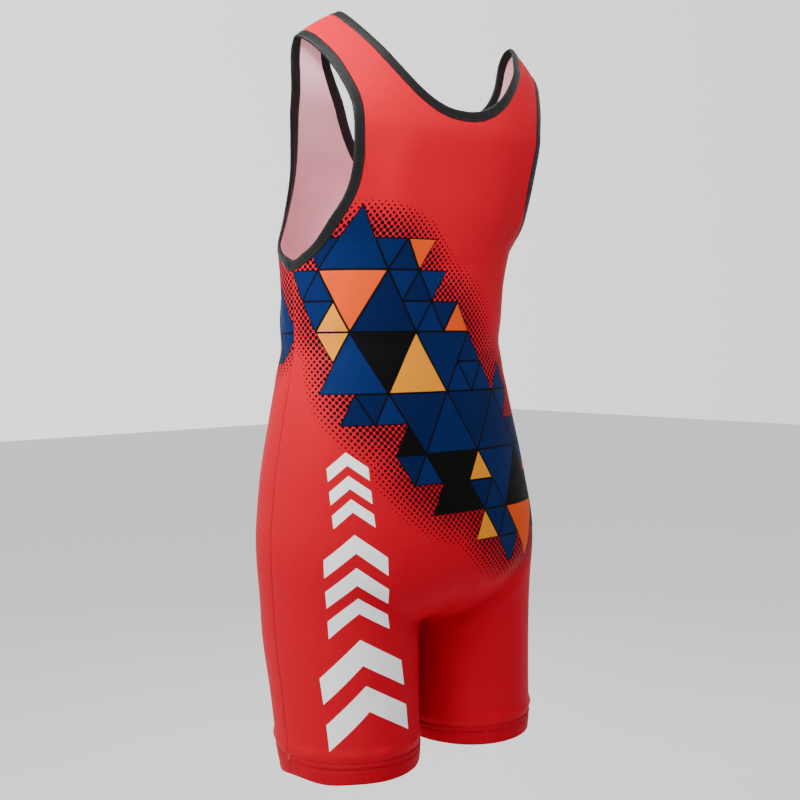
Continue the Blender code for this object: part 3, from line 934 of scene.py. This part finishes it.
def facets(tree, u, v, size, seed):
    """A triangle mesh: its cell's middle, distance to its edge in cell sizes, and three random numbers."""
    height = size * math.sqrt(3) / 2
    y = v / height
    x = u / size - y * 0.5
    whole_x, whole_y, part_x, part_y = x.floor(), y.floor(), x.fract(), y.fract()
    upper = (part_x + part_y).above(1.0)
    third = upper * (1 / 3) + 1 / 3
    middle_v = (whole_y + third) * height
    middle_u = (whole_x + third + (whole_y + third) * 0.5) * size
    edge = (upper - part_x).abs().least((upper - part_y).abs()).least((part_x + part_y).inverse().abs())
    return middle_u, middle_v, edge, random_of(tree, whole_x, whole_y, upper, seed)


def facet_colours(base, shown, edge, chance, line):
    """Paints facets over a base colour: dark blues and black, some gold and orange."""
    first, second, _ = chance
    colour = painted(NAVY, BLUE, first)
    colour = painted(colour, BLACK, first.above(BLACK_FROM))
    colour = painted(colour, GOLD, second.above(GOLD_FROM))
    colour = painted(colour, ORANGE, second.above(ORANGE_FROM))
    outlined = painted(BLACK, colour, edge.above(line))
    return painted(base, outlined, shown)


def chevron_mask(u, v, stack):
    middle_u, middle_v, half_width, pitch, count = stack
    across = (u - middle_u).abs()
    place = (v - middle_v + across * CHEVRON_SLOPE) / pitch + count / 2
    inside = across.below(half_width) * place.above(0.0) * place.below(count)
    return place.fract().below(CHEVRON_SHARE) * inside


def print_material(name, blobs, chevrons, seed):
    """Printed stretch knit. The print is in pattern metres, so it lies on the cloth as on flat cut pieces."""
    material, tree, shader = new_material(name)
    u, v, vector = places_of(tree, "Pattern")
    cloud = noise_of(tree, vector, 9.0, 2.0)
    colour = painted(RED, DEEP_RED, cloud * 0.5)
    # Dots that grow towards the blobs
    across = ((u + v) / DOT_PITCH).fract() - 0.5
    up = ((u - v) / DOT_PITCH).fract() - 0.5
    grown = ((blob_field(u, v, blobs) + DOT_REACH) * DOT_GROWTH).least(DOT_MOST)
    dots = (across * across + up * up).below(grown * grown.above(DOT_LEAST))
    colour = painted(colour, BLACK, dots)
    # Small facets in all of the blobs and large ones over them near their middles
    for size, need, spread, line in FACET_LAYERS:
        middle_u, middle_v, edge, chance = facets(tree, u, v, size, seed + size * 100)
        here = blob_field(middle_u, middle_v, blobs)
        shown = (here - chance[2] * spread).above(need)
        colour = facet_colours(colour, shown, edge, chance, line)
    for stack in chevrons:
        colour = painted(colour, WHITE, chevron_mask(u, v, stack))
    feed(shader, {"Base Color": colour})
    finish_knit(tree, shader, vector, KNIT_ROUGHNESS)
    return material


def finish_knit(tree, shader, vector, rough):
    """The fine ribs and the slight sheen of a smooth stretch knit."""
    scaled = feed(tree.nodes.new("ShaderNodeMapping"), {"Vector": vector, "Scale": (1.0, 0.35, 1.0)})
    fine = noise_of(tree, scaled.outputs[0], KNIT_SCALE, 3.0, 0.6)
    broad = noise_of(tree, vector, CLOTH_SCALE, 3.0)
    add_bump(tree, shader, fine * 0.7 + broad * 0.3, KNIT_BUMP)
    roughness = broad * ROUGHNESS_SWING + (rough - ROUGHNESS_SWING / 2)
    feed(shader, {"Roughness": roughness, "Specular IOR Level": KNIT_SPECULAR})
    feed(shader, {"Sheen Weight": KNIT_SHEEN, "Sheen Roughness": KNIT_SHEEN_ROUGHNESS})


def inside_material(name, colour, deep):
    material, tree, shader = new_material(name)
    _, _, vector = places_of(tree, "Pattern")
    cloud = noise_of(tree, vector, 14.0, 3.0)
    feed(shader, {"Base Color": painted(colour, deep, cloud * 0.6)})
    finish_knit(tree, shader, vector, INSIDE_ROUGHNESS)
    return material


def binding_material(name):
    material, tree, shader = new_material(name)
    _, _, vector = places_of(tree, "Strip")
    ribs = tree.nodes.new("ShaderNodeTexWave")
    ribs.wave_type = "BANDS"
    ribs.bands_direction = "DIAGONAL"
    feed(ribs, {"Vector": vector, "Scale": RIB_SCALE, "Distortion": RIB_BEND})
    rib = Field(tree, ribs.outputs["Fac"])
    cloud = noise_of(tree, vector, BINDING_CLOUD, 3.0)
    colour = painted(BINDING_DARK, BINDING_PALE, rib * 0.4 + cloud * 0.5)
    add_bump(tree, shader, rib * 0.6 + cloud * 0.4, BINDING_BUMP)
    feed(shader, {"Base Color": colour, "Roughness": cloud * 0.2 + BINDING_ROUGHNESS})
    feed(shader, {"Sheen Weight": BINDING_SHEEN, "Specular IOR Level": BINDING_SPECULAR})
    return material


def thread_material(name, colour, deep):
    material, tree, shader = new_material(name)
    place = tree.nodes.new("ShaderNodeTexCoord")
    twist = tree.nodes.new("ShaderNodeTexWave")
    twist.bands_direction = "DIAGONAL"
    feed(twist, {"Vector": place.outputs["Object"], "Scale": THREAD_TWIST})
    mixed = painted(colour, deep, Field(tree, twist.outputs["Fac"]))
    feed(shader, {"Base Color": mixed, "Roughness": THREAD_ROUGHNESS})
    return material


# The pieces

singlet = bpy.data.collections.new("wrestling_singlet_looks")
bpy.context.scene.collection.children.link(singlet)

inside = inside_material("inside_pink", PINK, DEEP_PINK)
hem_outside = inside_material("hem_outside_red", HEM_RED, DEEP_HEM_RED)
hem_inside = inside_material("hem_inside_red", RED, DEEP_RED)
black = binding_material("binding_black")
dark_thread = thread_material("thread_black", (0.0080, 0.0077, 0.0086), (0.0034, 0.0033, 0.0036))
red_thread = thread_material("thread_red", (0.19, 0.002, 0.006), (0.070, 0.001, 0.002))
knot_thread = thread_material("thread_bright_red", (0.60, 0.080, 0.090), (0.42, 0.006, 0.018))
pale_thread = thread_material("thread_pale", (0.80, 0.44, 0.48), (0.62, 0.24, 0.29))

cloths, edges, outs = {}, {}, {}
for label, side, blobs, chevrons, seed in (
    ("back", BACK, BACK_BLOBS, BACK_CHEVRONS, 3.0),
    ("front", FRONT, FRONT_BLOBS, FRONT_CHEVRONS, 17.0),
):
    printed = print_material(f"{label}_print", blobs, chevrons, seed)
    cloths[side], edges[side], outs[side] = make_cloth(
        f"{label}_cloth", side, (printed, inside, hem_outside, hem_inside), singlet
    )

neck_strip, neck_line, neck_outs = make_binding("neck_strip", NECK_TURN, black, singlet)
left_strip, arm_line, arm_outs = make_binding("armhole_strip_left", ARM_TURN, black, singlet)
right_strip = mirrored(left_strip, "armhole_strip_right", singlet)

neck_row = thread_row(neck_line, neck_outs, BINDING_STITCH, closed=True)
neck_thread = make_thread("neck_stitches", [neck_row], dark_thread, singlet)
arm_row = thread_row(arm_line, arm_outs, BINDING_STITCH, closed=True)
left_thread = make_thread("armhole_stitches_left", [arm_row], dark_thread, singlet)
right_thread = mirrored(left_thread, "armhole_stitches_right", singlet)

SEAM_THREADS = {
    "side_seam_stitches": red_thread,
    "inseam_stitches": red_thread,
    "hem_stitches": red_thread,
    "shoulder_seam_stitches": red_thread,
    "hem_knots": knot_thread,
    "inside_overlock": pale_thread,
}
# How far each seam's stitches stand off the cloth
SIDE_LIFT, INSEAM_LIFT, SHOULDER_LIFT = 0.0002, 0.0001, 0.0003
rows = {name: [] for name in SEAM_THREADS}
hem_numbers = [int(np.argmin(np.abs(LEG_HEIGHTS - row))) for row in HEM_ROWS]


def add_seams(hand):
    """Rows of stitches on the seams and hems of the wearer's left (hand 1) or right (-1) half."""
    turn = MIRROR if hand < 0 else 1
    back, front = edges[BACK][hand], edges[FRONT][hand]

    def between(place):
        """Directions halfway between those of the two panels."""
        return unit(outs[BACK][place] + outs[FRONT][place]) * turn

    side = (slice(None), -1)
    below_arm = back[side][:, 2] < ARM_BACK[0][1] - BINDING_WIDTH
    inseam = (slice(0, len(LEG_HEIGHTS)), 0)
    shoulder = (-1, slice(3, -3))
    for name, line, out, lift in (
        ("side_seam_stitches", back[side][below_arm], between(side)[below_arm], SIDE_LIFT),
        ("inseam_stitches", back[inseam], between(inseam), INSEAM_LIFT),
        ("shoulder_seam_stitches", (back[shoulder] + front[shoulder]) / 2, between(shoulder), SHOULDER_LIFT),
    ):
        rows[name].append(thread_row(line, out, SEAM_STITCH, slant=SEAM_SLANT * hand, lift=lift))
        within = line - out * OVERLOCK_DEPTH
        overlock = thread_row(within, -out, OVERLOCK_STITCH, slant=OVERLOCK_SLANT, lift=OVERLOCK_LIFT)
        rows["inside_overlock"].append(overlock)
    crossing = (slice(hem_numbers[0], hem_numbers[1] + 2), -1)
    knots = thread_row(back[crossing], between(crossing), KNOT_STITCH, slant=KNOT_SLANT, lift=KNOT_LIFT)
    rows["hem_knots"].append(knots)
    for number in hem_numbers:
        line = np.concatenate([back[number], front[number][-2:0:-1]])
        out = np.concatenate([outs[BACK][number], outs[FRONT][number][-2:0:-1]]) * turn
        rows["hem_stitches"].append(thread_row(line, out, HEM_STITCH, closed=True, lift=HEM_STITCH_LIFT))


add_seams(1)
add_seams(-1)
seam_threads = [make_thread(name, rows[name], thread, singlet) for name, thread in SEAM_THREADS.items()]

for piece, node in (
    (cloths[BACK], "back_panel"),
    (cloths[FRONT], "front_panel"),
    (neck_strip, "neck_binding"),
    (left_strip, "armhole_binding_left"),
    (right_strip, "armhole_binding_right"),
):
    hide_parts(node)
for piece in (cloths[BACK], cloths[FRONT], *seam_threads):
    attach(piece, "root")
for piece in (neck_strip, left_strip, right_strip, neck_thread, left_thread, right_thread):
    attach(piece, "root")

# Floor, world, lights and camera

FLOOR_HEIGHT, FLOOR_REACH = -1.45, 12.0


def make_floor():
    mesh = bpy.data.meshes.new("floor")
    signs = ((-1, -1), (1, -1), (1, 1), (-1, 1))
    corners = [(x * FLOOR_REACH, y * FLOOR_REACH, FLOOR_HEIGHT) for x, y in signs]
    mesh.from_pydata(corners, [], [(0, 1, 2, 3)])
    floor = bpy.data.objects.new("floor", mesh)
    bpy.context.scene.collection.objects.link(floor)
    material, _, shader = new_material("floor_pale")
    feed(shader, {"Base Color": (0.93, 0.93, 0.93, 1), "Roughness": 0.9})
    mesh.materials.append(material)


def view_axes(azimuth, elevation, roll=0.0):
    a, e, t = (math.radians(x) for x in (azimuth, elevation, roll))
    back = Vector((math.sin(a) * math.cos(e), -math.cos(a) * math.cos(e), math.sin(e)))
    right = Vector((math.cos(a), math.sin(a), 0))
    up = back.cross(right)
    return right * math.cos(t) + up * math.sin(t), up * math.cos(t) - right * math.sin(t), back


CAMERA_AZIMUTH, CAMERA_ELEVATION, CAMERA_ROLL = 140.93, 2.99, -0.69
CAMERA_DISTANCE, CAMERA_LENS = 1.3006, 50
TARGET_SHIFT, TARGET_HEIGHT = 0.0129, -0.4078


def stand(thing, axes, place):
    """Puts an object in the scene at a place, turned to the axes."""
    matrix = Matrix(axes).transposed().to_4x4()
    matrix.translation = place
    thing.matrix_world = matrix
    bpy.context.scene.collection.objects.link(thing)


def make_camera():
    axes = view_axes(CAMERA_AZIMUTH, CAMERA_ELEVATION, CAMERA_ROLL)
    a = math.radians(CAMERA_AZIMUTH)
    target = Vector((math.cos(a), math.sin(a), 0)) * TARGET_SHIFT + Vector((0, 0, TARGET_HEIGHT))
    camera = bpy.data.objects.new("camera", bpy.data.cameras.new("camera"))
    camera.data.lens = CAMERA_LENS
    camera.data.clip_start = 0.01
    stand(camera, axes, target + axes[2] * CAMERA_DISTANCE)
    bpy.context.scene.camera = camera


# Name, angle round the garment, angle up, distance, size, power in watts, height that it faces and spread
LIGHTS = (
    ("key", 96, 34, 1.5, 0.8, 32, -0.25, 180),
    ("top_fill", 164, 46, 0.90, 0.5, 9.0, -0.10, 180),
    ("armhole_fill", 122, 24, 1.1, 0.3, 0.8, -0.16, 30),
    ("front_fill", -40, 30, 2.6, 1.4, 22, TARGET_HEIGHT, 180),
)


def make_light(name, azimuth, elevation, distance, size, power, aim, spread):
    """A square soft light that faces the garment's middle line at a height, in a cone of some degrees."""
    axes = view_axes(azimuth, elevation)
    lamp = bpy.data.objects.new(name, bpy.data.lights.new(name, "AREA"))
    lamp.data.size = size
    lamp.data.energy = power
    lamp.data.spread = math.radians(spread)
    stand(lamp, axes, Vector((0, 0, aim)) + axes[2] * distance)


WORLD_MIDDLE, WORLD_SWING, WORLD_LEAST = 0.90, 0.90, 0.36


def make_world():
    """A white studio, a little brighter ahead of the garment than behind it."""
    world = bpy.data.worlds.new("studio")
    world.use_nodes = True
    tree = world.node_tree
    place = tree.nodes.new("ShaderNodeTexCoord")
    parts = feed(tree.nodes.new("ShaderNodeSeparateXYZ"), {0: place.outputs["Generated"]})
    strength = (Field(tree, parts.outputs[1]) * -WORLD_SWING + WORLD_MIDDLE).most(WORLD_LEAST)
    feed(tree.nodes["Background"], {"Color": (1, 1, 1, 1), "Strength": strength})
    bpy.context.scene.world = world


make_floor()
make_world()
make_camera()
for light in LIGHTS:
    make_light(*light)
